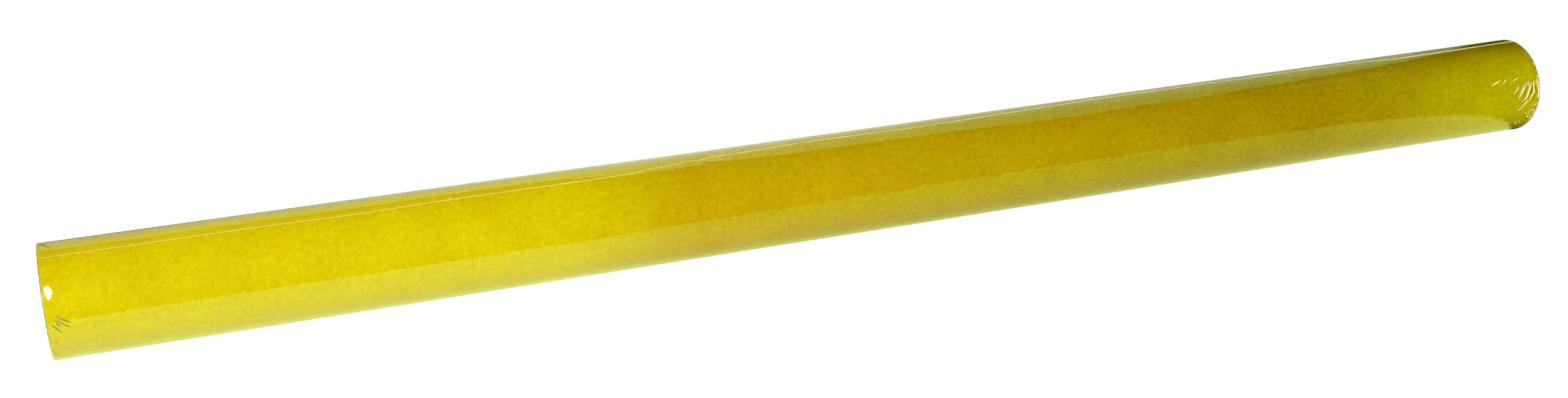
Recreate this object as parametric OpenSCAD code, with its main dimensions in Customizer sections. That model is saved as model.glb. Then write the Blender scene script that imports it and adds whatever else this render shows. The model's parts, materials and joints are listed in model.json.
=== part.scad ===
// A shrink-wrapped roll of self-adhesive sign vinyl.
// The roll lies along +X with its axis on the X axis, and +Z is up.
// The origin is the middle of the core's bore.

/* [Web] */
// Width of the vinyl, along the roll
web_w = 1220; // [610:10:1520]
// Turns of vinyl wound on the core
turns = 40; // [20:1:60]
// Thickness of the vinyl face film
film_t = 0.10; // [0.08:0.01:0.15]
// Thickness of the release liner
liner_t = 0.12; // [0.10:0.01:0.15]
// Thickness of the adhesive coat, left as a gap between film and liner
glue_t = 0.03; // [0.02:0.01:0.04]
// Where the free end of the web lies, from the front over the top
tail_az = 205; // [110:5:300]

/* [Core] */
// Inside diameter of the cardboard core
core_id = 50.8; // [38.1, 50.8, 76.2]
// Wall of the core
core_wall = 4.0; // [3:0.5:6]

/* [Tapes] */
// Axial width of each tab that starts the web on the core
start_tab_w = 50; // [20:5:100]
// Length of each starting tab, around the core
start_tab_l = 25; // [15:5:40]
// Axial width of each tab that holds the free end
tail_tab_w = 19; // [12:1:38]
// Length of each of those tabs, around the roll
tail_tab_l = 50; // [30:5:70]
// Where the outer tabs lie, as a share of the way from the middle to the end
tab_share = 0.8; // [0.5:0.05:0.9]
// Thickness of every tape
tape_t = 0.06; // [0.04:0.01:0.08]

/* [Wrap] */
// Thickness of the shrink film
wrap_t = 0.15; // [0.15:0.01:0.3]
// Length of the gathered part of the film at each end
gather_l = 20; // [10:1:40]
// Radius of the film where it turns over the end of the roll
rim_r = 0.80; // [0.7:0.05:1]
// How much wider than the bore the film's round opening is, in each end
eye_margin = 5.2; // [3:0.2:7]
// Radius of the rolled edge round that opening
eye_bead_r = 0.30; // [0.2:0.05:0.3]
// Radius of the welded seam's bead
seam_r = 0.30; // [0.2:0.05:0.5]
// Turns the whole seam round the roll, from the front towards the top
seam_turn = 0; // [-180:5:180]

/* [Hidden] */
$fn = 96;

bore_r = core_id / 2;
core_r = bore_r + core_wall;
plies = 5;                                           // board plies in the core's wall
board_glue = 0.05;                                   // glue line between two plies
ply_t = (core_wall - (plies - 1) * board_glue) / plies;

pitch = liner_t + glue_t + film_t;                   // growth of the radius in one turn
shift = pitch / 2;                                   // between the centres of the two half-turns
start_gap = 0.10;                                    // room for the starting tabs
web_r = core_r + start_gap;                          // inside of the first turn
film_in = liner_t + glue_t;                          // film's inside above the liner's inside
last_r = web_r + (2 * turns - 1) * shift + pitch;    // outside of the last half-turn
tail_r = last_r + shift;                             // furthest point of the web, at its free end

slack = 0.04;                                        // between the tabs and the film
wrap_in = tail_r + tape_t + slack;
wrap_r = wrap_in + wrap_t;
end_gap = 0.60;                                      // from the web's cut end to the film
half_w = web_w / 2;
end_x = half_w + end_gap;                            // inside of the film across the end
joint_x = half_w - gather_l;                         // where sleeve and gathered end meet
eye_d = core_id + eye_margin;
tab_x = tab_share * half_w;

// The seam's course: share of the half width, and degrees from the front over the top.
seam_course = [
    [-1, 71], [-0.33, 72], [-0.27, 75], [-0.2, 82], [-0.1, 85],
    [0.05, 85], [0.18, 88], [0.38, 92], [0.7, 93], [0.8, 88], [1, 90]
];
seam_rings = 80;
seam_sides = 8;
seam_lift = 0.02;                                    // above the sleeve's surface

tape_colour = [0.93, 0.90, 0.78];
board = [0.62, 0.50, 0.36];
clear = [0.88, 0.92, 0.94, 0.35];

// Lays something built along +Z along +X: local +X then points down, local +Y backwards.
module along_x(x0) {
    translate([x0, 0, 0]) rotate([0, 90, 0]) children();
}

// A closed round tube along X, centred on the origin.
module tube(r_in, r_out, length) {
    along_x(-length / 2) difference() {
        cylinder(r = r_out, h = length);
        translate([0, 0, -1]) cylinder(r = r_in, h = length + 2);
    }
}

// Part of a tube between two angles, as wide as w.
module arc_strip(r_in, t, from, to, w) {
    rotate([0, 0, from]) rotate_extrude(angle = to - from) translate([r_in, 0]) square([t, w]);
}

// A strip wound into a spiral of half-turns about two centres, a half pitch apart.
module spiral(r_in, t, w) {
    along_x(-w / 2) rotate([0, 0, 270 - tail_az]) union() {
        for (half = [0 : 2 * turns - 1])
            translate([half % 2 == 0 ? 0 : shift, 0, 0])
                arc_strip(r_in + half * shift, t, 180 * (half % 2), 180 * (half % 2) + 180, w);
    }
}

// One ply of the core, counted from the bore.
module core_ply(number) {
    r_in = bore_r + (number - 1) * (ply_t + board_glue);
    color(board) tube(r_in, r_in + ply_t, web_w);
}

// A tab of tape under the first turn, at x.
module start_tab(x) {
    half_angle = start_tab_l / 2 / core_r * 180 / PI;
    color(tape_colour) along_x(x - start_tab_w / 2) rotate([0, 0, 270 - tail_az])
        arc_strip(core_r + 0.01, tape_t, -half_angle, half_angle, start_tab_w);
}

module release_liner() {
    color("ivory") spiral(web_r, liner_t, web_w);
}

module vinyl_film() {
    color([0.90, 0.80, 0.02]) spiral(web_r + film_in, film_t, web_w);
}

// A tab of tape across the step at the web's free end, at x.
module tail_tab(x) {
    half_angle = tail_tab_l / 2 / last_r * 180 / PI;
    color(tape_colour) along_x(x - tail_tab_w / 2) rotate([0, 0, 270 - tail_az]) union() {
        translate([shift, 0, 0]) arc_strip(last_r, tape_t, -half_angle, 0, tail_tab_w);
        translate([tail_r - pitch, 0, 0]) cube([pitch + tape_t, tape_t, tail_tab_w]);
        arc_strip(tail_r - pitch, tape_t, 0, half_angle, tail_tab_w);
    }
}

module shrink_sleeve() {
    color(clear) tube(wrap_in, wrap_r, 2 * joint_x);
}

// The film's section at one end: along the roll, round the rim and in to the opening.
module gather_section() {
    rim_x = end_x - rim_r;
    rim_y = wrap_in - rim_r;
    eye_edge = eye_d / 2 + eye_bead_r;
    translate([wrap_in, joint_x]) square([wrap_t, rim_x - joint_x]);
    translate([eye_edge, end_x]) square([rim_y - eye_edge, wrap_t]);
    translate([rim_y, rim_x]) intersection() {
        difference() {
            circle(r = rim_r + wrap_t);
            circle(r = rim_r);
        }
        square(2 * rim_r);
    }
}

// The gathered film over one end; side is -1 for the left and 1 for the right.
module shrink_end(side) {
    color(clear) mirror([side < 0 ? 1 : 0, 0, 0]) along_x(0) rotate_extrude() gather_section();
}

// The rolled edge of the film round the open mouth of the core.
module eye_bead(side) {
    bead_x = end_x + wrap_t - eye_bead_r;
    color(clear) mirror([side < 0 ? 1 : 0, 0, 0]) along_x(0) rotate_extrude()
        translate([eye_d / 2, bead_x]) union() {
            circle(r = eye_bead_r);
            translate([0, -eye_bead_r]) square([eye_bead_r, 2 * eye_bead_r]);
        }
}

// The seam's place round the roll, from the front over the top, in degrees.
function seam_az(x) = seam_turn + lookup(x / half_w, seam_course);
function seam_x(ring) = -half_w + ring * web_w / seam_rings;
function seam_point(ring, side) = let (
    x = seam_x(ring),
    az = seam_az(x),
    around = 360 * side / seam_sides,
    r = wrap_r + seam_lift + seam_r + seam_r * cos(around),
    across = seam_r * sin(around)
) [x, -r * cos(az) - across * sin(az), r * sin(az) - across * cos(az)];

// The thin bead of welded film that runs the length of the roll.
module seam_bead() {
    points = [for (ring = [0 : seam_rings]) for (side = [0 : seam_sides - 1]) seam_point(ring, side)];
    walls = [
        for (ring = [0 : seam_rings - 1]) for (side = [0 : seam_sides - 1])
            let (a = ring * seam_sides + side, b = ring * seam_sides + (side + 1) % seam_sides)
                [a, b, b + seam_sides, a + seam_sides]
    ];
    first = [for (side = [seam_sides - 1 : -1 : 0]) side];
    last = [for (side = [0 : seam_sides - 1]) seam_rings * seam_sides + side];
    color(clear) polyhedron(points, concat(walls, [first, last]), convexity = 8);
}

core_ply(1);  // core_bore_ply
core_ply(2);  // core_ply_2
core_ply(3);  // core_ply_3
core_ply(4);  // core_ply_4
core_ply(5);  // core_outer_ply
start_tab(-tab_x);  // start_tab_left
start_tab(0);  // start_tab_middle
start_tab(tab_x);  // start_tab_right
release_liner();
vinyl_film();
tail_tab(-tab_x);  // tail_tab_left
tail_tab(0);  // tail_tab_middle
tail_tab(tab_x);  // tail_tab_right
shrink_sleeve();
shrink_end(-1);  // shrink_end_left
shrink_end(1);  // shrink_end_right
eye_bead(-1);  // eye_bead_left
eye_bead(1);  // eye_bead_right
seam_bead();
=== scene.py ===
import json
import math

import bpy
import numpy as np
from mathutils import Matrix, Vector


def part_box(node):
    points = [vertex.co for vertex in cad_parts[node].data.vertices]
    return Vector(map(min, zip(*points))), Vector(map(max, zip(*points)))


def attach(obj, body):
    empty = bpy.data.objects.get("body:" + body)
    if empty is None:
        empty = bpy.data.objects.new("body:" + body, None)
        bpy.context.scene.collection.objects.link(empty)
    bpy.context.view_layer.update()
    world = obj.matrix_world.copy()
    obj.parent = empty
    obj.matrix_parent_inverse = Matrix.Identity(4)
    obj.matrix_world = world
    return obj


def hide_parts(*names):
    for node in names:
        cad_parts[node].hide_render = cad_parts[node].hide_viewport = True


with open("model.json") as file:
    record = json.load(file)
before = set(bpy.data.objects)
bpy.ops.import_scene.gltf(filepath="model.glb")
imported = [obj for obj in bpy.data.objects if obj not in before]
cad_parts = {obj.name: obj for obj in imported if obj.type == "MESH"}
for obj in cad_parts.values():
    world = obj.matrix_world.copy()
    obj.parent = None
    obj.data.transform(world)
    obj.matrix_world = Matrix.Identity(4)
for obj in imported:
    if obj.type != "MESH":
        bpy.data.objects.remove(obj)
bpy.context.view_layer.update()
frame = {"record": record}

# A shrink-wrapped roll of yellow sign vinyl. The roll lies along X and its middle is the origin.
# Places on it are an x and an azimuth: degrees round the axis, from the front (-Y) over the top (+Z).

# ---- Sizes in metres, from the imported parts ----
MM = 0.001
HALF_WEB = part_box("vinyl_film")[1].x
WRAP_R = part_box("shrink_sleeve")[1].z
END_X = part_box("shrink_end_right")[1].x
CORE_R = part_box("core_outer_ply")[1].z
PLY_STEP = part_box("core_ply_2")[1].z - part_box("core_bore_ply")[1].z
BORE_R = frame["record"]["mounts"][0]["dims"]["r_mm"] * MM

# ---- The web, as it is wound ----
TURNS = 40
PITCH = 0.25 * MM
LINER_T = 0.12 * MM
GLUE_T = 0.03 * MM
FILM_T = 0.095 * MM
WEB_R = CORE_R + 0.10 * MM
TAIL_AZ = 205
SECTIONS = 144                       # of one turn
TELESCOPE = 0.06 * MM                # how far the turns wander endways
OVERHANG = 0.15 * MM                 # of the web past each end of the core

# ---- The core and the tapes ----
GLUE_LINE = 0.05 * MM
PLY_LEAD = 96 * MM                   # the innermost ply's advance in one turn
BUTT_GAP = 0.5 * MM                  # between two turns of a ply
TAPE_T = 0.06 * MM
CREPE = 0.012 * MM                   # depth of the tape's creping
START_TAB = (50 * MM, 25 * MM)       # width along the roll, length round it
TAIL_TAB = (19 * MM, 50 * MM)
TAB_SHARE = 0.8

# ---- The shrink film ----
WRAP_T = 0.12 * MM
RIM_R = 0.95 * MM
EYE_R = 28.0 * MM
WAVE = 0.030 * MM                    # of the film's slack between the ends
WAVE_COUNT = 14
PLEAT_COUNT = 34                     # at each end
PLEAT_HEIGHT = 0.16 * MM             # at the rim
PLEAT_REACH = 9 * MM                 # along the sleeve, from the end
LEFT_PLEAT_SHARE = 0.5               # the pleats lie flatter on the left
PUCKER_HEIGHT = 0.45 * MM
EYE_CORD_R = 0.42 * MM               # of the rolled edge round the opening

# ---- The camera ----
CAMERA_AT = (-0.5435, -1.2218, 0.5551)
CAMERA_TILT, CAMERA_PAN = 66.78, -20.84
CAMERA_LENS = 42.48

random = np.random.default_rng(48)


# ======== Mesh helpers ========

def on_roll(x, r, az):
    """Points at x, radius r and azimuth az in degrees; the three may be arrays."""
    x, r, az = np.broadcast_arrays(x, r, np.radians(az))
    return np.stack([x, -r * np.cos(az), r * np.sin(az)], axis=-1)


def loft(rings, loop=False):
    """Points and faces of the surface through rings of points, closed over at each end or in a loop."""
    count, sides = rings.shape[:2]
    number = np.arange(count * sides).reshape(count, sides)
    near = number if loop else number[:-1]
    far = np.roll(number, -1, axis=0)[: len(near)]
    quads = np.stack([near, far, np.roll(far, -1, axis=1), np.roll(near, -1, axis=1)], axis=-1)
    faces = quads.reshape(-1, 4).tolist()
    if not loop:
        faces += [number[0].tolist(), number[-1][::-1].tolist()]
    return rings.reshape(-1, 3), faces


def volume(points, faces):
    """Volume of a closed mesh, below zero where its faces look inwards."""
    fans = [(f[0], f[i], f[i + 1]) for f in faces for i in range(1, len(f) - 1)]
    a, b, c = (points[list(corner)] for corner in zip(*fans))
    return float(np.einsum("ij,ij->i", a, np.cross(b, c)).sum() / 6)


def make_mesh(name, points, faces, material, sharp=40):
    """A mesh object with outward faces, smooth but for edges sharper than that angle."""
    if volume(points, faces) < 0:
        faces = [face[::-1] for face in faces]
    mesh = bpy.data.meshes.new(name)
    mesh.from_pydata(points.tolist(), [], faces)
    mesh.polygons.foreach_set("use_smooth", [True] * len(mesh.polygons))
    mesh.set_sharp_from_angle(angle=math.radians(sharp))
    mesh.materials.append(material)
    piece = bpy.data.objects.new(name, mesh)
    bpy.context.scene.collection.objects.link(piece)
    return piece


def add_piece(name, rings, material, stands_for=(), loop=False, sharp=40):
    """One lofted piece of the object, riding on its body and taking the given material."""
    points, faces = loft(rings, loop)
    piece = make_mesh(name, points, faces, material, sharp)
    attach(piece, "root")
    if stands_for:
        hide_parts(*stands_for)
    return piece


def join_islands(parts):
    """Points and faces of several lofted islands as one mesh."""
    points, faces, offset = [], [], 0
    for part_points, part_faces in parts:
        if volume(part_points, part_faces) < 0:
            part_faces = [face[::-1] for face in part_faces]
        points.append(part_points)
        faces += [[offset + i for i in face] for face in part_faces]
        offset += len(part_points)
    return np.concatenate(points), faces


def set_web_uv(piece, u, v):
    """A UV map in metres: u along the roll and v along the web."""
    mesh = piece.data
    corner = np.empty(len(mesh.loops), dtype=np.int32)
    mesh.loops.foreach_get("vertex_index", corner)
    layer = mesh.uv_layers.new(name="Web")
    layer.data.foreach_set("uv", np.stack([u[corner], v[corner]], axis=-1).astype(np.float32).ravel())


def smooth(t):
    """0 below 0, 1 above 1 and a smooth step between."""
    t = np.clip(t, 0, 1)
    return t * t * (3 - 2 * t)


def hump(t):
    """1 at 0, falling smoothly to 0 at -1 and 1."""
    return smooth(1 - np.abs(t))


# ======== Material helpers ========

def new_material(name):
    material = bpy.data.materials.new(name)
    material.use_nodes = True
    tree = material.node_tree
    tree.nodes.clear()
    return material, tree


def add(tree, kind, settings=None, **inputs):
    """A node, its settings, and its inputs by name: values, or sockets to link from."""
    made = tree.nodes.new("ShaderNode" + kind)
    for key, value in (settings or {}).items():
        setattr(made, key, value)
    for key, value in inputs.items():
        socket = made.inputs[int(key[1:])] if key[0] == "_" else made.inputs[key.replace("_", " ")]
        if isinstance(value, bpy.types.NodeSocket):
            tree.links.new(value, socket)
        else:
            socket.default_value = value
    return made


def calc(tree, operation, a, b=0.0, c=0.0):
    return add(tree, "Math", {"operation": operation}, _0=a, _1=b, _2=c).outputs[0]


def scaled(tree, value, low, high):
    """value, from 0 to 1, as a number from low to high."""
    return add(tree, "MapRange", None, Value=value, To_Min=low, To_Max=high).outputs[0]


def blend_colours(tree, factor, first, second):
    mixed = add(tree, "Mix", {"data_type": "RGBA"}, _0=factor, _6=first, _7=second)
    return mixed.outputs[2]


def place(tree):
    return add(tree, "TexCoord").outputs["Object"]


def noise(tree, where, per_metre, detail=2.0, roughness=0.5):
    made = add(tree, "TexNoise", None, Vector=where, Scale=per_metre, Detail=detail, Roughness=roughness)
    return made.outputs["Fac"]


def stretched(tree, where, scale):
    return add(tree, "Mapping", None, Vector=where, Scale=scale).outputs[0]


def stripes(tree, where, angle, pitch, jitter):
    """Parallel ridges, 0 to 1, that run at that angle from the first axis."""
    turn = math.radians(angle)
    across = (-math.sin(turn) / pitch, math.cos(turn) / pitch, 0)
    phase = add(tree, "VectorMath", {"operation": "DOT_PRODUCT"}, _0=where, _1=across).outputs["Value"]
    bent = calc(tree, "ADD", phase, jitter)
    wave = calc(tree, "SINE", calc(tree, "MULTIPLY", bent, 2 * math.pi))
    return calc(tree, "MULTIPLY_ADD", wave, 0.5, 0.5)


def bump(tree, height, distance, strength=1.0):
    return add(tree, "Bump", None, Strength=strength, Distance=distance, Height=height).outputs[0]


def finish_material(tree, shader):
    out = add(tree, "OutputMaterial")
    tree.links.new(shader, out.inputs["Surface"])


# ======== Materials ========

def yellow_vinyl():
    """Calendered yellow film with a fine slanting emboss and a mottle, both drawn stronger on the right
    as painted shade and glints of the emboss under grazing light.
    """
    material, tree = new_material("yellow_vinyl")
    web = add(tree, "UVMap", {"uv_map": "Web"}).outputs[0]
    spots = noise(tree, web, 230, detail=4.0, roughness=0.7)
    mottle = add(tree, "MapRange", None, Value=spots, From_Min=0.34, From_Max=0.66).outputs[0]
    cloud = noise(tree, web, 28, detail=2.0)
    jitter = scaled(tree, noise(tree, web, 330, detail=1.0), -0.75, 0.75)
    hatch = stripes(tree, web, -55, 1.95 * MM, jitter)
    tone = calc(tree, "MULTIPLY_ADD", mottle, 0.55, scaled(tree, cloud, -0.22, 0.38))
    along = add(tree, "SeparateXYZ", None, Vector=web).outputs["X"]
    # The hatch's share rises towards the right: painted shade of the emboss under grazing light.
    hatch_share_and_painted_shade = add(
        tree, "MapRange", None, Value=along, From_Min=-0.3, From_Max=0.4, To_Min=0.20, To_Max=0.36,
    ).outputs[0]
    shade = calc(tree, "MULTIPLY_ADD", hatch, hatch_share_and_painted_shade, tone)
    # The contrast rises towards the right: painted shade and glints of the emboss under grazing light.
    mottle_contrast_and_painted_shade = add(
        tree, "MapRange", None, Value=along, From_Min=-0.3, From_Max=0.4, To_Min=0.85, To_Max=1.40,
    ).outputs[0]
    shade = calc(tree, "MULTIPLY_ADD", calc(tree, "SUBTRACT", shade, 0.5), mottle_contrast_and_painted_shade, 0.5)
    colour = blend_colours(tree, shade, (0.735, 0.473, 0.000, 1), (0.980, 0.732, 0.002, 1))
    grain = noise(tree, web, 1500, detail=2.0)
    relief = calc(tree, "MULTIPLY_ADD", hatch, 0.35, calc(tree, "MULTIPLY_ADD", grain, 0.15, mottle))
    shader = add(
        tree, "BsdfPrincipled", None, Base_Color=colour, Roughness=scaled(tree, mottle, 0.40, 0.56),
        Specular_IOR_Level=0.03, Normal=bump(tree, relief, 0.12 * MM),
    )
    finish_material(tree, shader.outputs[0])
    return material


def liner_paper():
    """Silicone-coated kraft paper, off white, with faint fibres."""
    material, tree = new_material("liner_paper")
    web = add(tree, "UVMap", {"uv_map": "Web"}).outputs[0]
    fibre = noise(tree, stretched(tree, web, (260, 1400, 1)), 1.0, detail=4.0, roughness=0.65)
    cloud = noise(tree, web, 35)
    colour = blend_colours(
        tree, calc(tree, "ADD", calc(tree, "MULTIPLY", fibre, 0.6), calc(tree, "MULTIPLY", cloud, 0.4)),
        (0.80, 0.78, 0.72, 1), (0.93, 0.92, 0.89, 1),
    )
    shader = add(
        tree, "BsdfPrincipled", None, Base_Color=colour, Roughness=scaled(tree, fibre, 0.45, 0.62),
        Normal=bump(tree, fibre, 0.02 * MM),
    )
    finish_material(tree, shader.outputs[0])
    return material


def core_board(name, dark, light):
    """Grey-brown spirally wound board, with fibres along the strip."""
    material, tree = new_material(name)
    where = place(tree)
    fibre = noise(tree, stretched(tree, where, (420, 120, 120)), 1.0, detail=5.0, roughness=0.7)
    fleck = noise(tree, where, 900, detail=2.0)
    specks = add(tree, "MapRange", None, Value=fleck, From_Min=0.60, From_Max=0.72).outputs[0]
    colour = blend_colours(tree, fibre, dark, light)
    colour = blend_colours(tree, calc(tree, "MULTIPLY", specks, 0.35), colour, (0.20, 0.13, 0.07, 1))
    shader = add(
        tree, "BsdfPrincipled", None, Base_Color=colour, Roughness=scaled(tree, fibre, 0.75, 0.92),
        Normal=bump(tree, fibre, 0.06 * MM),
    )
    finish_material(tree, shader.outputs[0])
    return material


def masking_tape():
    """Cream creped paper tape."""
    material, tree = new_material("masking_tape")
    where = place(tree)
    crepe = noise(tree, stretched(tree, where, (1500, 500, 500)), 1.0, detail=3.0)
    colour = blend_colours(tree, crepe, (0.70, 0.62, 0.40, 1), (0.88, 0.82, 0.62, 1))
    shader = add(
        tree, "BsdfPrincipled", None, Base_Color=colour, Roughness=scaled(tree, crepe, 0.55, 0.75),
        Normal=bump(tree, crepe, 0.03 * MM),
    )
    finish_material(tree, shader.outputs[0])
    return material


def fresnel_share(tree, least):
    """The share of light that a thin clear film mirrors, rising towards a glancing view."""
    facing = add(tree, "LayerWeight", None, Blend=0.5).outputs["Facing"]
    return calc(tree, "MULTIPLY_ADD", calc(tree, "POWER", facing, 5.0), 1 - least, least)


def clear_film():
    """Clear polyolefin shrink film: see-through, with a mirror gloss over a fine ripple."""
    material, tree = new_material("clear_film")
    where = place(tree)
    ripple = noise(tree, where, 200, detail=0.0)
    drawn = noise(tree, stretched(tree, where, (60, 150, 150)), 1.0, detail=0.0)
    relief = calc(tree, "MULTIPLY_ADD", drawn, 0.6, ripple)
    gloss = add(tree, "BsdfGlossy", None, Roughness=0.005, Normal=bump(tree, relief, 0.04 * MM))
    through = add(tree, "BsdfTransparent", None, Color=(0.985, 0.99, 0.985, 1))
    share = fresnel_share(tree, 0.04)
    mixed = add(tree, "MixShader", None, _0=share, _1=through.outputs[0], _2=gloss.outputs[0])
    finish_material(tree, mixed.outputs[0])
    return material


def gathered_film(
    name, least, most, roughness, milk_colour=(0.95, 0.95, 0.91, 1), clear_colour=(0.97, 0.98, 0.96, 1),
):
    """The same film where it is thick, folded or welded: milky and less clear, or tinted dark to paint
    the shade in creases.
    """
    material, tree = new_material(name)
    where = place(tree)
    cloud = noise(tree, where, 700, detail=3.0, roughness=0.65)
    milk = add(
        tree, "BsdfPrincipled", None, Base_Color=milk_colour, Roughness=roughness,
        Normal=bump(tree, cloud, 0.08 * MM),
    )
    through = add(tree, "BsdfTransparent", None, Color=clear_colour)
    share = scaled(tree, cloud, least, most)
    mixed = add(tree, "MixShader", None, _0=share, _1=through.outputs[0], _2=milk.outputs[0])
    finish_material(tree, mixed.outputs[0])
    return material


def weld_line():
    """The welded seam: a hair of film, yellow from the vinyl behind it but cream where it is thick."""
    material, tree = new_material("weld_line")
    where = place(tree)
    cloud = noise(tree, where, 700, detail=3.0, roughness=0.65)
    x = add(tree, "SeparateXYZ", None, Vector=where).outputs["X"]
    thick = add(tree, "MapRange", None, Value=x, From_Min=0.42, From_Max=0.52).outputs[0]
    colour = blend_colours(tree, thick, (1.00, 0.94, 0.38, 1), (1.00, 0.97, 0.55, 1))
    milk = add(
        tree, "BsdfPrincipled", None, Base_Color=colour, Roughness=0.25,
        Normal=bump(tree, cloud, 0.08 * MM),
    )
    through = add(tree, "BsdfTransparent", None, Color=(0.97, 0.98, 0.96, 1))
    share = scaled(tree, cloud, 0.45, 0.95)
    mixed = add(tree, "MixShader", None, _0=share, _1=through.outputs[0], _2=milk.outputs[0])
    finish_material(tree, mixed.outputs[0])
    return material


# ======== The core ========

def ply_rings(number):
    """Sections of one ply: a strip of board wound as a helix and cut square at both ends."""
    inside = BORE_R + number * PLY_STEP
    outside = inside + PLY_STEP - GLUE_LINE
    hand = 1 if number % 2 == 0 else -1
    lead = PLY_LEAD * (1 - 0.06 * number)
    turns = 2 * HALF_WEB / lead + 1
    turn = np.linspace(0.02, turns - 0.02, round(turns * 72))
    centre = -HALF_WEB - lead / 2 + turn * lead
    low = np.clip(centre - lead / 2 + BUTT_GAP / 2, -HALF_WEB, HALF_WEB)
    high = np.clip(centre + lead / 2 - BUTT_GAP / 2, -HALF_WEB, HALF_WEB)
    az = hand * turn * 360 + 70 * number
    corners = ((low, inside), (high, inside), (high, outside), (low, outside))
    return np.stack([on_roll(x, r, az) for x, r in corners], axis=1)


def build_core():
    names = ["core_bore_ply", "core_ply_2", "core_ply_3", "core_ply_4", "core_outer_ply"]
    inner = core_board("kraft_board", (0.42, 0.29, 0.16, 1), (0.62, 0.46, 0.29, 1))
    middle = core_board("grey_board", (0.36, 0.29, 0.20, 1), (0.55, 0.46, 0.34, 1))
    for number, name in enumerate(names):
        skin = inner if number in (0, 4) else middle
        add_piece(name + "_wound", ply_rings(number), skin, [name])


# ======== The web ========

def web_radius(turn):
    return WEB_R + PITCH * turn


def wander(turn, phase):
    """How far the edge of the web strays endways at that turn."""
    slow = np.sin(2 * math.pi * turn / 17 + phase) + 0.5 * np.sin(2 * math.pi * turn / 5.3 + 2 * phase)
    return TELESCOPE * slow


def wound_strip(name, lift, thickness, first, last, material, node):
    """A strip wound as a spiral from turn first to turn last, lifted off the web's inside."""
    turn = np.linspace(first, last, round((last - first) * SECTIONS) + 1)
    az = TAIL_AZ - 360 * turn
    inside = web_radius(turn) + lift
    left = -HALF_WEB - OVERHANG + wander(turn, 0.4)
    right = HALF_WEB + OVERHANG + wander(turn, 2.0)
    corners = ((left, 0), (right, 0), (right, thickness), (left, thickness))
    rings = np.stack([on_roll(x, inside + up, az) for x, up in corners], axis=1)
    piece = add_piece(name, rings, material, [node])
    along = 2 * math.pi * (WEB_R * turn + PITCH * turn * turn / 2)
    set_web_uv(piece, rings[:, :, 0].ravel(), np.repeat(along, 4))
    return piece


def build_web():
    vinyl = yellow_vinyl()
    over = LINER_T + GLUE_T
    wound_strip("liner_wound", 0, LINER_T, 0, TURNS, liner_paper(), "release_liner")
    wound_strip("vinyl_wound", over, FILM_T, 0, TURNS - 1, vinyl, "vinyl_film")
    wound_strip("vinyl_outer_turn", over, FILM_T, TURNS - 1, TURNS, vinyl, "vinyl_film")


# ======== The tapes ========

def tab_rings(centre, size, base):
    """A tab of creped tape with toothed ends; base gives its inside radius at an arc length."""
    width, length = size
    across = np.linspace(-width / 2, width / 2, 27)
    along = np.linspace(-length / 2, length / 2, 61)
    tooth = 0.35 * MM * np.abs((across / (1.4 * MM)) % 2 - 1)
    end = np.abs(along / (length / 2)) ** 12 * np.sign(along)
    arc = along[:, None] + end[:, None] * tooth[None, :]
    x = centre + across[None, :] + 0 * arc
    crepe = CREPE * random.standard_normal(arc.shape)
    low = base(arc)
    az = TAIL_AZ - np.degrees(arc / CORE_R if size is START_TAB else arc / web_radius(TURNS))
    top = on_roll(x, low + TAPE_T - CREPE + crepe, az)
    under = on_roll(x, low, az)
    return np.concatenate([top, under[:, ::-1]], axis=1)


def start_base(arc):
    return CORE_R + 0.01 * MM + 0 * arc


def tail_base(arc):
    """The web's outside round its free end: it drops by one pitch there."""
    turn = TURNS + arc / (2 * math.pi * web_radius(TURNS))
    step = smooth(0.5 + arc / (1.2 * MM))
    return web_radius(turn) + PITCH * (1 - step) + 0.005 * MM


def build_tapes():
    tape = masking_tape()
    places = {"left": -TAB_SHARE * HALF_WEB, "middle": 0.0, "right": TAB_SHARE * HALF_WEB}
    for side, x in places.items():
        add_piece(
            f"start_tape_{side}", tab_rings(x, START_TAB, start_base), tape,
            [f"start_tab_{side}"],
        )
        add_piece(
            f"tail_tape_{side}", tab_rings(x, TAIL_TAB, tail_base), tape,
            [f"tail_tab_{side}"],
        )


# ======== The shrink film ========

# Azimuths of the film's columns: closer on the side that the folds are on.
COLUMNS = np.concatenate([
    np.linspace(-50, 120, 100, endpoint=False),
    np.linspace(120, 310, 60, endpoint=False),
])
# Length along the roll, lobes round it and phase of each wave in the slack film.
WAVES = [
    (random.uniform(50, 190) * MM, int(random.integers(0, 12)), random.uniform(0, 2 * math.pi))
    for _ in range(WAVE_COUNT)
]
# Middle and half width of each pleat in degrees, and its strength, by end.
PLEATS = {
    side: [
        (
            k * 360 / PLEAT_COUNT + random.uniform(-3.5, 3.5),
            random.uniform(2.2, 4.6), random.uniform(0.25, 1.0),
        )
        for k in range(PLEAT_COUNT)
    ]
    for side in (-1, 1)
}

# The corner facet at the left end: its middle, half sizes, and which way its flat face looks.
FACET_X, FACET_AZ = -606.2 * MM, 33
FACET_HALF_X, FACET_HALF_AZ = 3.4 * MM, 8.0
FACET_LOOK_AZ, FACET_TILT = 29.5, 0.125
FACET_ROWS_END = -590 * MM           # rows right of this are clear of it

# The slack pucker beside the seam: its middle and half sizes.
PUCKER_X, PUCKER_AZ = -136 * MM, 75.5
PUCKER_HALF_X, PUCKER_HALF_AZ = 17 * MM, 4.5


def around(az, middle):
    """Degrees from middle to az, the short way."""
    return (np.asarray(az) - middle + 180) % 360 - 180


def slack(x, az):
    """Long, shallow waves in the stretched film."""
    total = 0
    for length, lobes, phase in WAVES:
        total = total + np.sin(2 * math.pi * x / length + lobes * np.radians(az) + phase)
    return WAVE * total / math.sqrt(len(WAVES))


def pleats(side, az):
    """Folds that gather the film at one end, 0 between them."""
    total = 0
    for middle, width, strength in PLEATS[side]:
        total = total + strength * hump(around(az, middle) / width)
    return total * (LEFT_PLEAT_SHARE if side < 0 else 1.0)


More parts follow.
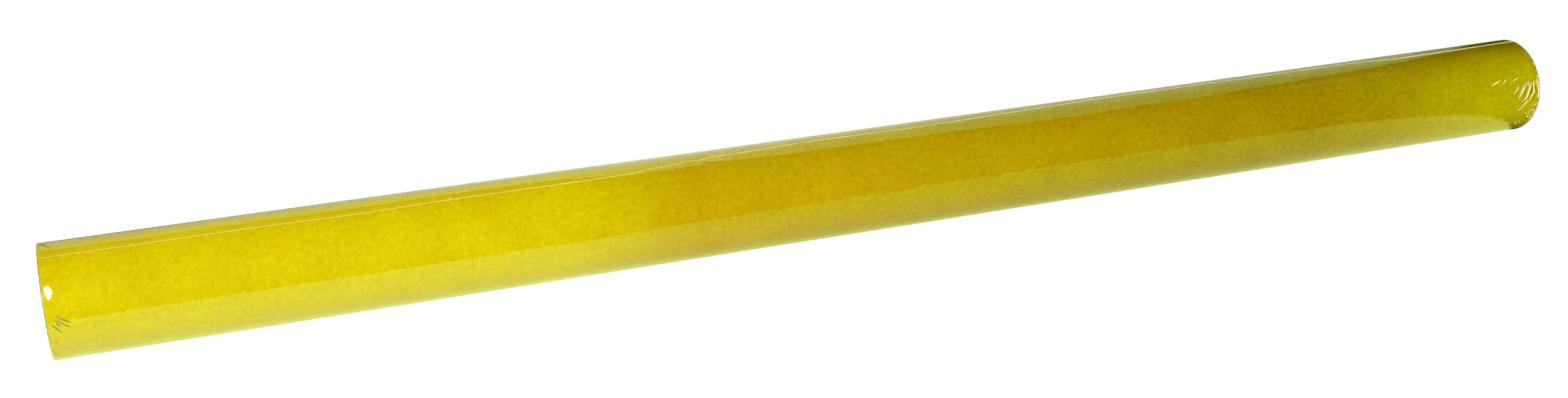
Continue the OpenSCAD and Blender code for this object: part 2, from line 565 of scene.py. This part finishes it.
def pucker(x, az):
    """Lift of the slack film beside the seam."""
    along = (x - PUCKER_X) / PUCKER_HALF_X
    over = around(az, PUCKER_AZ) / PUCKER_HALF_AZ
    return PUCKER_HEIGHT * hump(along) * hump(over)


def facet(x, az):
    """Lift that makes a flat diamond at the left rim, and the slopes that lead up to it."""
    along = np.abs(x - FACET_X) / FACET_HALF_X
    over = np.abs(around(az, FACET_AZ)) / FACET_HALF_AZ
    turn = np.radians(around(az, FACET_LOOK_AZ))
    start = WRAP_R * math.cos(math.radians(FACET_AZ - FACET_LOOK_AZ)) + 0.10 * MM
    flat = (start + FACET_TILT * (x - FACET_X)) / np.cos(turn) - WRAP_R
    inside = smooth((1.0 - np.maximum(along, over) + 0.06) / 0.12)
    edge = smooth((1.6 - along - over) / 0.6)
    return np.where(along + over < 1.0, flat, flat * edge * inside)


def eye_radius(side, az):
    """The film's irregular round opening."""
    turn = np.radians(az)
    lobes = 0.45 * np.sin(2 * turn + 0.7 + side) + 0.30 * np.sin(5 * turn + 1.9 * side)
    return EYE_R + 0.6 * MM + MM * (lobes + 0.18 * np.sin(11 * turn + side))


def sleeve_places():
    """Where the rows of the sleeve lie along the roll: close at the ends and the pucker."""
    rim = END_X - RIM_R
    return np.concatenate([
        np.arange(-rim, -578 * MM, 0.75 * MM),
        np.arange(-578 * MM, -190 * MM, 11 * MM),
        np.arange(-190 * MM, -95 * MM, 1.8 * MM),
        np.arange(-95 * MM, 555 * MM, 11 * MM),
        np.linspace(555 * MM, rim, 66),
    ])


def film_lift(x, az):
    """How far the sleeve stands off its plain radius."""
    near_rim = 1 - smooth((END_X - np.abs(x)) / PLEAT_REACH)
    gathers = np.where(x < 0, pleats(-1, az), pleats(1, az))
    return slack(x, az) * (1 - near_rim) + pucker(x, az) + PLEAT_HEIGHT * near_rim * gathers


def sleeve_row(x):
    """Places and normals of one row of the sleeve's outside."""
    az = COLUMNS
    lift = film_lift(x, az)
    if x < FACET_ROWS_END:
        lift = lift + facet(x, az)
    return np.full(len(az), x), WRAP_R + lift, np.zeros(len(az)), np.ones(len(az))


def rim_row(side, angle):
    """One row round the rim: angle is 0 at the sleeve and 90 at the end's flat."""
    az = COLUMNS
    turn = math.radians(angle)
    lift = PLEAT_HEIGHT * pleats(side, az) * (1 + 0.8 * math.sin(turn))
    x = END_X - RIM_R + RIM_R * math.sin(turn)
    r = WRAP_R - RIM_R + RIM_R * math.cos(turn)
    edge = facet(np.full(len(az), -END_X + RIM_R), az) * math.cos(turn) if side < 0 else 0
    along = np.full(len(az), math.sin(turn))
    out = np.full(len(az), math.cos(turn))
    return side * (x + lift * along), r + lift * out + edge, side * along, out


def face_row(side, share):
    """One row across the end, from the rim (share 0) to the opening (share 1)."""
    az = COLUMNS
    outer = WRAP_R - RIM_R
    r = outer + (eye_radius(side, az) - outer) * share
    lift = MM * pleats(side, az) * (0.29 + 0.45 * share) + 0.25 * MM * share * share
    return side * (END_X + lift), r, np.full(len(az), float(side)), np.zeros(len(az))


def film_rows():
    """All rows of the film's outside, from the left opening to the right one."""
    shares = np.linspace(0, 1, 13)
    angles = np.linspace(0, 90, 8)[1:-1]
    rows = [face_row(-1, share) for share in shares[::-1]]
    rows += [rim_row(-1, angle) for angle in angles[::-1]]
    rows += [sleeve_row(x) for x in sleeve_places()]
    rows += [rim_row(1, angle) for angle in angles]
    rows += [face_row(1, share) for share in shares]
    return rows


def build_wrap():
    outer, inner = [], []
    for x, r, along, out in film_rows():
        outer.append(on_roll(x, r, COLUMNS))
        inner.append(on_roll(x - WRAP_T * along, r - WRAP_T * out, COLUMNS))
    rings = np.array(outer + inner[::-1])
    return add_piece(
        "shrink_film", rings, clear_film(),
        ["shrink_sleeve", "shrink_end_left", "shrink_end_right"], loop=True, sharp=60,
    )


# ======== Folds, seam and rolled edges of the film ========

def crease_island(places, width, height):
    """A tapered ridge of film through (x, azimuth) places on the sleeve."""
    places = np.array(places, float)
    path = np.linspace(0, len(places) - 1, 6 * len(places) + 5)
    x = np.interp(path, np.arange(len(places)), places[:, 0]) * MM
    az = np.interp(path, np.arange(len(places)), places[:, 1])
    share = np.linspace(0, 1, len(path))
    size = np.clip(np.sin(math.pi * share) ** 0.6, 0.06, 1)
    arc = np.radians(az) * WRAP_R
    run = np.stack([np.gradient(x), np.gradient(arc)], axis=-1)
    run /= np.linalg.norm(run, axis=1)[:, None]
    rings = []
    for turn in np.linspace(0, 2 * math.pi, 10, endpoint=False):
        side = math.cos(turn) * width / 2 * size
        up = math.sin(turn) * height * size if math.sin(turn) > 0 else math.sin(turn) * 0.05 * MM
        ring_x = x - run[:, 1] * side
        ring_az = np.degrees((arc + run[:, 0] * side) / WRAP_R)
        rings.append(on_roll(ring_x, WRAP_R + film_lift(ring_x, ring_az) + up, ring_az))
    return loft(np.stack(rings, axis=1))


def add_creases(name, folds, material):
    """Folds are (width in mm, height in mm, places) and become one piece."""
    islands = [crease_island(places, width * MM, height * MM) for width, height, places in folds]
    points, faces = join_islands(islands)
    piece = make_mesh(name, points, faces, material, 60)
    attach(piece, "root")
    return piece


LEFT_FOLDS = [
    (0.75, 0.40, [(-605.5, 11.5), (-595.5, 2)]),
    (0.60, 0.35, [(-605.5, 7.0), (-597, -2)]),
    (0.52, 0.30, [(-608, 3.8), (-602, -7)]),
    (0.52, 0.25, [(-609, -31), (-606, -42), (-603, -51)]),
    (0.52, 0.25, [(-607, -17), (-604, -27)]),
    (0.52, 0.25, [(-599, -33), (-592.5, -45)]),
    (0.52, 0.25, [(-606, 100), (-600, 88)]),
    (0.52, 0.25, [(-604, 107), (-598.5, 89.5)]),
]

LEFT_CREASES = [
    (0.74, 0.30, [(-604, 10.2), (-600, 5.5), (-595, 0.3)]),
    (0.74, 0.30, [(-604.7, 5.5), (-596, -3.7)]),
    (0.68, 0.30, [(-607.8, 2.2), (-601.4, -8.8)]),
    (0.59, 0.25, [(-604.6, 3.2), (-602, -1.7)]),
    (0.59, 0.25, [(-609.5, 103), (-602.5, 85.5)]),
]

RIGHT_FOLDS = [
    (0.98, 0.50, [(569, 30.5), (558, 25)]),
    (0.68, 0.40, [(576, 31), (571, 26)]),
    (0.83, 0.50, [(588, 31), (584, 29), (581.5, 27)]),
    (0.75, 0.50, [(587.6, 20.5), (585.3, 16), (581, 11)]),
    (1.05, 0.60, [(597.5, 25), (593.5, 18), (590, 10.5), (586.5, 4)]),
    (0.68, 0.45, [(599, 25), (598, 21), (596, 17)]),
    (0.98, 0.60, [(601.5, 23), (598.7, 14), (596.3, 5.5), (592, 0.5)]),
    (1.12, 0.60, [(603.6, 25), (603, 19), (603.5, 10.5), (601, 6), (599.5, -1.5)]),
    (0.68, 0.45, [(603.5, 12), (604.8, 8)]),
    (1.05, 0.60, [(605.8, 24.5), (607.6, 17), (608.6, 9.5), (608.8, 5.5), (607.6, 1)]),
    (0.83, 0.50, [(607.2, 26.5), (608.8, 20.5), (609.3, 15.5)]),
    (0.68, 0.45, [(608, 31), (609.2, 26.5)]),
    (0.68, 0.45, [(598, 2), (594, -4)]),
    (0.75, 0.50, [(607, 7), (608.4, 2.5), (609.4, 5.5)]),
    (0.90, 0.50, [(598.6, -16.5), (601.2, -20.5)]),
    (0.75, 0.50, [(602, -16), (604.8, -20)]),
    (0.68, 0.45, [(606.8, -11.8), (608.2, -18)]),
    (0.90, 0.55, [(603.6, -28.6), (603, -24), (604.2, -23)]),
    (0.83, 0.50, [(606.9, -30.7), (607.1, -27)]),
    (0.90, 0.50, [(605, -23.3), (609.3, -29.5)]),
    (0.83, 0.45, [(591.5, -30), (598.3, -41.5)]),
    (0.68, 0.45, [(594.3, -30.5), (595.5, -35)]),
    (0.75, 0.45, [(596.4, -30), (600.3, -36.7)]),
    (0.68, 0.45, [(609.3, 49), (609.6, 44)]),
    (0.68, 0.45, [(609.4, 40.7), (609.6, 36.5)]),
    (0.50, 0.35, [(599.3, -1.7), (594.5, -4.5), (590.6, -7.2)]),
    (0.45, 0.30, [(595.5, -5.7), (588.1, -12.7)]),
    (0.55, 0.35, [(608.7, -5.6), (603.5, -8.3)]),
    (0.55, 0.35, [(606.5, -12.5), (602.5, -15.8)]),
    (0.55, 0.35, [(609.0, -16.0), (607.0, -24.0)]),
    (0.50, 0.35, [(594.5, 23.5), (591.0, 16.0), (587.5, 9.5)]),
    (0.50, 0.35, [(600.2, 22.5), (597.2, 12.5), (595.0, 5.0)]),
]

RIGHT_CREASES = [
    (0.59, 0.35, [(599.2, 23), (595.5, 16), (591.8, 8.5)]),
    (0.59, 0.35, [(602.6, 21), (600.6, 12), (598, 4.5)]),
    (0.59, 0.35, [(605.2, 19), (605.8, 12), (604.2, 4), (602, -3)]),
    (0.65, 0.40, [(608.4, 14), (609.3, 8), (609.5, 1), (608.8, -4)]),
    (0.65, 0.40, [(609, 52), (609.5, 47)]),
    (0.65, 0.40, [(609.2, 43), (609.5, 38)]),
    (0.65, 0.40, [(601, -24), (605.5, -31)]),
    (0.40, 0.25, [(593, -33), (597, -41)]),
    (0.59, 0.35, [(606, -8), (608.5, -14)]),
]

PUCKER_FOLDS = [
    (0.58, 0.35, [(-154, 73), (-144, 70)]),
    (0.72, 0.50, [(-150, 75), (-142, 75), (-135, 74), (-126, 72), (-121, 77)]),
    (0.50, 0.35, [(-168, 74), (-172, 69)]),
    (0.50, 0.35, [(-166, 72), (-168, 67)]),
    (0.50, 0.35, [(-165, 70), (-168, 64)]),
    (0.50, 0.30, [(-174, 83), (-167, 80)]),
    (0.50, 0.30, [(-155, 88), (-154, 81)]),
    (0.50, 0.30, [(-177, 81), (-174, 79)]),
]

SEAM_COURSE = [
    (-610, 71), (-473, 71), (-388, 70), (-344, 72), (-253, 71.5), (-206, 72), (-186, 76), (-175, 76),
    (-156, 80), (-146, 79), (-138, 81.5), (-119, 82), (-106, 83), (-54, 86), (24, 84), (107, 88),
    (224, 93.5), (342, 93), (437, 93.5), (485, 87.5), (532, 88.5), (610, 91.5),
]


def seam_azimuth(x):
    course = np.array(SEAM_COURSE, float)
    return np.interp(x / MM, course[:, 0], course[:, 1])


def seam_rings():
    """The welded bead: a thin, slightly lumpy cord of film along its wandering course."""
    x = np.linspace(-HALF_WEB, HALF_WEB, 500)
    wobble = np.convolve(random.standard_normal(len(x) + 8), np.ones(9) / 9, "valid")
    az = seam_azimuth(x) + 0.35 * wobble
    lump = 1 + 0.25 * np.convolve(random.standard_normal(len(x) + 4), np.ones(5) / 5, "valid")
    radius = (0.135 + 0.145 * smooth((x - 0.44) / 0.08)) * MM * lump
    centre = WRAP_R + film_lift(x, az) + 0.04 * MM + radius
    sides = []
    for turn in np.linspace(0, 2 * math.pi, 8, endpoint=False):
        sides.append(on_roll(
            x, centre + radius * math.sin(turn), az + np.degrees(radius * math.cos(turn) / WRAP_R),
        ))
    return np.stack(sides, axis=1)


def eye_rings(side):
    """The rolled edge round the film's opening, twisted like a thick cord."""
    az = np.linspace(0, 360, 260, endpoint=False)
    turn = np.radians(az)
    thick = EYE_CORD_R * (1 + 0.25 * np.sin(23 * turn + side) + 0.15 * np.sin(41 * turn))
    r = eye_radius(side, az)
    lift = 0.25 * MM + 0.5 * MM * pleats(side, az)
    sides = []
    for k in range(10):
        spin = 2 * math.pi * k / 10 + 6 * turn
        flat = 1 + 0.22 * math.cos(2 * math.pi * k / 5)
        sides.append(on_roll(
            side * (END_X + lift + thick * flat * np.sin(spin)), r + thick * flat * np.cos(spin), az,
        ))
    return np.stack(sides, axis=1)


def build_film_details():
    milky = gathered_film("gathered_film", 0.35, 0.75, 0.30)
    add_piece("welded_seam", seam_rings(), weld_line(), ["seam_bead"])
    for side, word in ((-1, "left"), (1, "right")):
        add_piece(
            f"rolled_eye_{word}", eye_rings(side), milky, [f"eye_bead_{word}"], loop=True,
        )
    soft = gathered_film("soft_fold", 0.35, 0.75, 0.25, (1.0, 0.96, 0.45, 1))
    # Its dark olive tint is painted shade along the creases.
    shadow = gathered_film("shaded_crease", 0.0, 0.15, 0.25, (0.55, 0.50, 0.05, 1), (0.72, 0.68, 0.35, 1))
    white = gathered_film("stressed_fold", 0.80, 1.0, 0.25, (1.0, 0.92, 0.44, 1))
    add_creases("film_folds_left", LEFT_FOLDS, soft)
    add_creases("film_creases_left", LEFT_CREASES, shadow)
    add_creases("film_folds_pucker", PUCKER_FOLDS, soft)
    add_creases("film_folds_right", RIGHT_FOLDS, white)
    add_creases("film_creases_right", RIGHT_CREASES, shadow)


# ======== The studio ========

FLOOR_Z = -WRAP_R - 0.05 * MM
LEMON_RED = 0.15                     # beside a green of 1, in what the film mirrors of the table
PALE_RED = 0.90


def stage_mesh(name, points, faces, material, seen_by):
    """A piece of the studio; seen_by lists the kinds of ray that meet it."""
    mesh = bpy.data.meshes.new(name)
    mesh.from_pydata(points, [], faces)
    mesh.materials.append(material)
    piece = bpy.data.objects.new(name, mesh)
    bpy.context.scene.collection.objects.link(piece)
    for ray in ("camera", "diffuse", "glossy", "transmission", "shadow"):
        setattr(piece, "visible_" + ray, ray in seen_by)
    return piece


def glow_material(name, colour, strength, diffuse=0.0):
    """Light of its own, and a share of matt white that other lamps light."""
    material, tree = new_material(name)
    shine = add(tree, "Emission", None, Color=(*colour, 1), Strength=strength)
    matt = add(tree, "BsdfDiffuse", None, Color=(diffuse, diffuse, diffuse, 1))
    both = add(tree, "AddShader", None, _0=shine.outputs[0], _1=matt.outputs[0])
    finish_material(tree, both.outputs[0])
    return material


def painted_glow(name):
    """Light of its own, as painted on the mesh in the attribute named glow."""
    material, tree = new_material(name)
    paint = add(tree, "Attribute", {"attribute_name": "glow"}).outputs["Color"]
    shine = add(tree, "Emission", None, Color=paint, Strength=1.0)
    finish_material(tree, shine.outputs[0])
    return material


def square(half, z):
    return [(-half, -half, z), (half, -half, z), (half, half, z), (-half, half, z)]


def painted_grid(name, across, up, point, glow):
    """A card made of a grid: point and glow give each crossing's place and colour."""
    points = [point(a, b) for b in up for a in across]
    wide = len(across)
    faces = [
        (j * wide + i, j * wide + i + 1, (j + 1) * wide + i + 1, (j + 1) * wide + i)
        for j in range(len(up) - 1) for i in range(wide - 1)
    ]
    card = stage_mesh(name, points, faces, painted_glow(name), ("glossy",))
    paint = card.data.attributes.new("glow", "FLOAT_COLOR", "POINT")
    colours = np.array([(*glow(a, b), 1.0) for b in up for a in across], dtype=np.float32)
    paint.data.foreach_set("color", colours.ravel())
    return card


def ramp(x, *stops):
    """A value that runs straight between (place, value) stops."""
    places, values = zip(*stops)
    return float(np.interp(x, places, values))


TABLE_FRONT = -0.181                 # y of the grid's first row, which becomes the near edge


def table_point(x, y):
    """A place on the table; its near edge, as the film mirrors it, comes forward towards the right."""
    front = ramp(
        x, (-0.19, -0.184), (-0.12, -0.245), (0.10, -0.295), (0.25, -0.370), (0.43, -0.370),
        (0.48, -0.300), (0.49, -0.235), (0.55, -0.215),
    )
    return (x, front if y == TABLE_FRONT else y, FLOOR_Z)


def table_white(x, y):
    """How pale the table looks in the film, from 0 for lemon to 1."""
    paler = ramp(x, (-0.24, 0.50), (-0.16, 0.10), (0.30, 0.05), (0.44, 0.25), (0.55, 0.90))
    under = ramp(x, (-0.10, 1.00), (0.15, 0.60), (0.45, 0.60), (0.55, 1.00))
    return max(paler, ramp(y, (-0.125, 0.0), (-0.070, 0.75 * under), (-0.045, 1.0)))


def table_level(x, y):
    """How bright the table looks in the film: near the roll's front, under it and behind it."""
    near = ramp(x, (-0.24, 1.50), (-0.16, 1.32), (0.05, 1.15), (0.30, 1.10), (0.45, 1.15), (0.60, 1.15))
    under = ramp(x, (-0.55, 1.90), (-0.24, 1.60), (-0.10, 1.35), (0.20, 1.10))
    near *= ramp(y, (-0.140, 1.00), (-0.100, 1.10), (-0.035, under), (-0.015, 0.9))
    far = ramp(
        x, (-0.57, 0.45), (-0.13, 0.95), (0.05, 1.25), (0.25, 1.15), (0.45, 0.90), (0.65, 0.78),
        (0.85, 0.52), (1.03, 0.38), (1.16, 0.32),
    )
    return ramp(y, (-0.01, near), (0.10, far))


def table_glow(x, y):
    """What the film mirrors of the table: lemon in front of the roll and paler near and behind it."""
    white = table_white(x, y)
    level = table_level(x, y)
    near_blue = ramp(x, (-0.24, 0.30), (-0.16, 0.20), (-0.05, 0.10), (0.30, 0.08))
    pale_blue = ramp(y, (-0.01, 0.28), (0.10, 0.75))
    # The table's right edge: nothing is mirrored past it in front, and little behind.
    if y < 0 and x > 0.550 + (y + 0.160) * 0.406:
        level = 0.0
    if y > 0 and x > 0.60 + 0.78 * y:
        level *= 0.25
    red = LEMON_RED + (PALE_RED - LEMON_RED) * white
    blue = near_blue + (pale_blue - near_blue) * white
    return (level * red, level, level * blue)


BACK_RADIUS = 1.2                    # of the curved card behind and over the roll


def back_edge(x):
    """Elevation in degrees, from the front over the top, where the back card ends."""
    return ramp(
        x, (-0.65, 136), (0.00, 136), (0.10, 117), (0.19, 116), (0.48, 111), (0.79, 105), (1.01, 108),
        (1.13, 113), (1.25, 120), (1.37, 128), (1.46, 142), (1.50, 152), (1.53, 167), (1.55, 181),
    )


def back_glow(x, elevation):
    """What the film mirrors of the backdrop, with a fainter strip over its right part."""
    level = ramp(
        x, (-0.65, 0.80), (-0.30, 0.95), (0.05, 1.20), (0.10, 1.40), (0.45, 1.30), (0.63, 1.12),
        (0.85, 0.98), (1.30, 0.88), (1.42, 0.80), (1.49, 0.55), (1.60, 0.35),
    )
    card = float(smooth((elevation - back_edge(x)) / 1.5)) * ramp(elevation, (146, 1.0), (165, 0.80))
    strip = float(hump((elevation - 99) / 9) * hump((x - 1.25) / 0.22)) * 0.4
    red = ramp(elevation, (111, 0.25), (128, 0.45), (146, 0.70), (163, 0.90), (180, 0.95))
    blue = ramp(elevation, (125, 0.28), (146, 0.48), (163, 0.70), (180, 0.92))
    return tuple(level * max(card, strip) * c for c in (red, 1.0, blue))


def back_point(x, elevation):
    """A place on the curved card."""
    turn = math.radians(elevation)
    return (x, -BACK_RADIUS * math.cos(turn), BACK_RADIUS * math.sin(turn))


def build_cards():
    across = np.concatenate([[-3], np.linspace(-1, 0.4, 71), np.linspace(0.405, 1.6, 240), [3]])
    up = np.concatenate([[TABLE_FRONT], np.linspace(-0.18, 0.2, 77), np.linspace(0.25, 1.2, 20), [3]])
    painted_grid("table_mirror", across, up, table_point, table_glow)
    across = np.linspace(-1.4, 1.64, 153)
    up = np.arange(88, 180.5, 0.5)
    painted_grid("back_mirror", across, up, back_point, back_glow)


def build_left_card():
    """A plain bright card that only the folds at the left end mirror."""
    shine = glow_material("left_mirror", (1.0, 1.0, 0.75), 0.85)
    corners = [(-1.6, -1.0, -0.3), (-1.6, 2.0, -0.3), (-1.6, 2.0, 1.6), (-1.6, -1.0, 1.6)]
    stage_mesh("left_mirror", corners, [(0, 1, 2, 3)], shine, ("glossy",))


def build_floor():
    pale = glow_material("pale_floor", (1.0, 1.0, 1.0), 0.93, diffuse=0.25)
    stage_mesh("floor", square(30, FLOOR_Z), [(0, 1, 2, 3)], pale, ("camera",))
    bounce = glow_material("floor_bounce", (1.0, 1.0, 1.0), 0.17, diffuse=0.45)
    stage_mesh("floor_bounce", square(6, FLOOR_Z - MM), [(0, 1, 2, 3)], bounce, ("diffuse",))
    sky = glow_material("backdrop", (1.0, 1.0, 1.0), 0.92)
    rings = [
        [(29 * math.cos(t) * math.cos(e), 29 * math.sin(t) * math.cos(e), 29 * math.sin(e) - 0.5)
         for t in np.linspace(0, 2 * math.pi, 24, endpoint=False)]
        for e in np.radians([0, 20, 40, 60, 80, 89])
    ]
    points, faces = loft(np.array(rings))
    stage_mesh("backdrop", points.tolist(), faces, sky, ("camera",))


def aim(lamp, target):
    lamp.rotation_euler = (Vector(target) - lamp.location).to_track_quat("-Z", "Y").to_euler()


def add_lamp(name, kind, place_at, target, power, colour=(1, 1, 1), size=0.6, mirrored=True):
    light = bpy.data.lights.new(name, kind)
    light.energy = power
    light.color = colour
    if kind == "AREA":
        light.shape = "SQUARE"
        light.size = size
    lamp = bpy.data.objects.new(name, light)
    lamp.location = place_at
    aim(lamp, target)
    lamp.visible_camera = False
    lamp.visible_glossy = mirrored
    bpy.context.scene.collection.objects.link(lamp)
    return lamp


def link_light(lamp, pieces):
    """Lets the lamp light only those pieces."""
    lit = bpy.data.collections.new("lit_by_" + lamp.name)
    for piece in pieces:
        lit.objects.link(piece)
    lamp.light_linking.receiver_collection = lit


def add_glow(name, place_at, target, power, cone, soft, pieces, red=0.52):
    """A lemon spot with a soft edge, which lights only those pieces."""
    spot = add_lamp(name, "SPOT", place_at, target, power, (red, 1.0, 0.10), mirrored=False)
    spot.data.spot_size = math.radians(cone)
    spot.data.spot_blend = soft
    spot.data.shadow_soft_size = 0.02
    link_light(spot, pieces)


def build_lamps():
    add_lamp("key_softbox", "AREA", (-1.10, -1.35, 0.95), (-0.20, 0, 0), 15.8, (1.0, 0.97, 0.93))
    add_lamp(
        "front_fill", "AREA", (-0.20, -0.80, 0.50), (-0.20, 0, 0), 2.5, (1.0, 0.91, 0.80), 0.3,
        mirrored=False,
    )
    add_lamp("top_fill", "AREA", (-0.30, 0.30, 1.50), (-0.30, 0, 0), 0.6, mirrored=False)
    add_lamp("left_top_fill", "AREA", (-0.50, 0.35, 0.60), (-0.50, 0, 0), 1.15, size=0.3, mirrored=False)
    add_lamp("right_top_fill", "AREA", (1.10, 0.20, 0.80), (0.60, 0, 0), 0.5, size=0.3, mirrored=False)
    add_lamp("right_end_fill", "AREA", (1.90, 0.25, 0.15), (0.61, 0, 0), 6, size=0.3, mirrored=False)
    add_lamp("back_fill", "AREA", (-0.40, 2.00, 0.60), (-0.30, 0, 0), 12, size=1.2, mirrored=False)
    vinyl = [bpy.data.objects["vinyl_wound"], bpy.data.objects["vinyl_outer_turn"]]
    vinyl_and_table = vinyl + [bpy.data.objects["floor_bounce"]]
    add_glow("left_glow", (-0.90, -1.75, 0.75), (-0.62, 0, 0), 28.5, 26.0, 0.33, vinyl_and_table)
    add_glow("left_top_glow", (-0.90, -1.62, 1.36), (-0.62, 0, 0), 36.5, 24.0, 0.33, vinyl_and_table)
    add_glow("right_glow", (1.30, -1.30, 0.10), (0.74, 0, 0), 46, 26, 1.0, vinyl, red=0.64)
    glint = add_lamp("fold_glint", "AREA", (0.30, -1.30, 0.60), (0.60, 0, 0), 20, size=0.3)
    link_light(glint, [bpy.data.objects["film_folds_right"], bpy.data.objects["welded_seam"]])


def build_world():
    world = bpy.data.worlds.new("soft_sky")
    world.use_nodes = True
    world.node_tree.nodes["Background"].inputs["Color"].default_value = (1, 1, 1, 1)
    world.node_tree.nodes["Background"].inputs["Strength"].default_value = 0.02
    world.cycles_visibility.camera = False
    world.cycles_visibility.glossy = False
    bpy.context.scene.world = world


def build_camera():
    camera = bpy.data.objects.new("camera", bpy.data.cameras.new("camera"))
    camera.data.lens = CAMERA_LENS
    camera.data.sensor_width = 36
    camera.data.sensor_fit = "HORIZONTAL"
    camera.data.clip_end = 100
    camera.location = CAMERA_AT
    camera.rotation_euler = (math.radians(CAMERA_TILT), 0, math.radians(CAMERA_PAN))
    bpy.context.scene.collection.objects.link(camera)
    bpy.context.scene.camera = camera


build_core()
build_web()
build_tapes()
build_wrap()
build_film_details()
build_floor()
build_cards()
build_left_card()
build_lamps()
build_world()
build_camera()
bpy.context.scene.view_settings.view_transform = "Standard"
